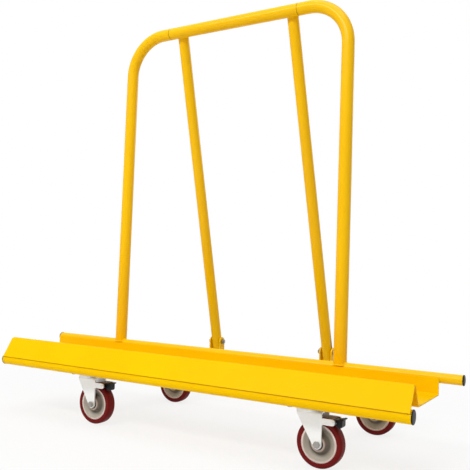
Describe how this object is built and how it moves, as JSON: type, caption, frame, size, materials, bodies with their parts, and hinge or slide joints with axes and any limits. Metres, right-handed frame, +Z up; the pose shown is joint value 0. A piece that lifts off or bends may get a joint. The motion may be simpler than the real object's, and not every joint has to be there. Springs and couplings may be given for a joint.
{
  "type": "drywall cart",
  "caption": "Panel cart with a folded sheet tray between round rails and a tubular A-frame backrest, on braked swivel casters, for moving drywall and other sheets on edge.",
  "frame": {"origin": "on the floor, under the middle of the cart's box", "axes": "+X along the cart, -Y the loading side with the lip, +Z up"},
  "size_m": [1.43, 0.6232, 1.3125],
  "materials": {
    "yellow_paint": "glossy yellow powder coat",
    "bare_steel": "bright machined steel",
    "zinc": "bright zinc plate",
    "black_plastic": "moulded black plastic",
    "black_pedal": "black painted steel",
    "maroon_tread": "maroon polyurethane, satin",
    "wheel_core": "grey-brown moulded core, satin"
  },
  "bodies": {
    "cart": {"front_rail": "yellow_paint", "rear_rail": "yellow_paint", "base_rail": "yellow_paint", "tray": "yellow_paint", "left_cross_member": "yellow_paint", "right_cross_member": "yellow_paint", "caster_pads": "yellow_paint", "rail_posts": "yellow_paint", "strut_brackets": "yellow_paint", "left_upright": "yellow_paint", "right_upright": "yellow_paint", "top_bar": "yellow_paint", "left_strut": "yellow_paint", "right_strut": "yellow_paint", "front_rail_caps": "black_plastic", "rear_rail_caps": "black_plastic", "base_rail_caps": "black_plastic", "bar_spigots": "bare_steel", "foot_spigots": "bare_steel", "kingpins": "bare_steel", "swivel_balls": "bare_steel", "strut_bolts": "zinc", "strut_nuts": "zinc", "set_bolts": "zinc", "caster_bolts": "zinc", "caster_nuts": "zinc", "top_plate_front_left": "zinc", "top_plate_front_right": "zinc", "top_plate_rear_left": "zinc", "top_plate_rear_right": "zinc"},
    "fork_front_left": {"fork_front_left": "zinc", "axle_front_left": "zinc", "pedal_pin_front_left": "zinc"},
    "wheel_front_left": {"tread_front_left": "maroon_tread", "core_front_left": "wheel_core", "bearings_front_left": "bare_steel"},
    "pedal_front_left": {"brake_pedal_front_left": "black_pedal"},
    "fork_front_right": {"fork_front_right": "zinc", "axle_front_right": "zinc", "pedal_pin_front_right": "zinc"},
    "wheel_front_right": {"tread_front_right": "maroon_tread", "core_front_right": "wheel_core", "bearings_front_right": "bare_steel"},
    "pedal_front_right": {"brake_pedal_front_right": "black_pedal"},
    "fork_rear_left": {"fork_rear_left": "zinc", "axle_rear_left": "zinc", "pedal_pin_rear_left": "zinc"},
    "wheel_rear_left": {"tread_rear_left": "maroon_tread", "core_rear_left": "wheel_core", "bearings_rear_left": "bare_steel"},
    "pedal_rear_left": {"brake_pedal_rear_left": "black_pedal"},
    "fork_rear_right": {"fork_rear_right": "zinc", "axle_rear_right": "zinc", "pedal_pin_rear_right": "zinc"},
    "wheel_rear_right": {"tread_rear_right": "maroon_tread", "core_rear_right": "wheel_core", "bearings_rear_right": "bare_steel"},
    "pedal_rear_right": {"brake_pedal_rear_right": "black_pedal"}
  },
  "joints": [
    {"name": "swivel_front_left", "type": "hinge", "parent": "cart", "child": "fork_front_left", "pos_m": [-0.414, -0.2115, 0.148], "axis": [0, 0, 1], "continuous": true},
    {"name": "roll_front_left", "type": "hinge", "parent": "fork_front_left", "child": "wheel_front_left", "pos_m": [-0.377, -0.2115, 0.0635], "axis": [0, 1, 0], "continuous": true},
    {"name": "brake_front_left", "type": "hinge", "parent": "fork_front_left", "child": "pedal_front_left", "pos_m": [-0.3375, -0.2115, 0.1235], "axis": [0, 1, 0], "range_deg": [0, 15]},
    {"name": "swivel_front_right", "type": "hinge", "parent": "cart", "child": "fork_front_right", "pos_m": [0.358, -0.2115, 0.148], "axis": [0, 0, 1], "continuous": true},
    {"name": "roll_front_right", "type": "hinge", "parent": "fork_front_right", "child": "wheel_front_right", "pos_m": [0.395, -0.2115, 0.0635], "axis": [0, 1, 0], "continuous": true},
    {"name": "brake_front_right", "type": "hinge", "parent": "fork_front_right", "child": "pedal_front_right", "pos_m": [0.4345, -0.2115, 0.1235], "axis": [0, 1, 0], "range_deg": [0, 15]},
    {"name": "swivel_rear_left", "type": "hinge", "parent": "cart", "child": "fork_rear_left", "pos_m": [-0.414, 0.208, 0.148], "axis": [0, 0, 1], "continuous": true},
    {"name": "roll_rear_left", "type": "hinge", "parent": "fork_rear_left", "child": "wheel_rear_left", "pos_m": [-0.377, 0.208, 0.0635], "axis": [0, 1, 0], "continuous": true},
    {"name": "brake_rear_left", "type": "hinge", "parent": "fork_rear_left", "child": "pedal_rear_left", "pos_m": [-0.3375, 0.208, 0.1235], "axis": [0, 1, 0], "range_deg": [0, 15]},
    {"name": "swivel_rear_right", "type": "hinge", "parent": "cart", "child": "fork_rear_right", "pos_m": [0.358, 0.208, 0.148], "axis": [0, 0, 1], "continuous": true},
    {"name": "roll_rear_right", "type": "hinge", "parent": "fork_rear_right", "child": "wheel_rear_right", "pos_m": [0.395, 0.208, 0.0635], "axis": [0, 1, 0], "continuous": true},
    {"name": "brake_rear_right", "type": "hinge", "parent": "fork_rear_right", "child": "pedal_rear_right", "pos_m": [0.4345, 0.208, 0.1235], "axis": [0, 1, 0], "range_deg": [0, 15]}
  ]
}
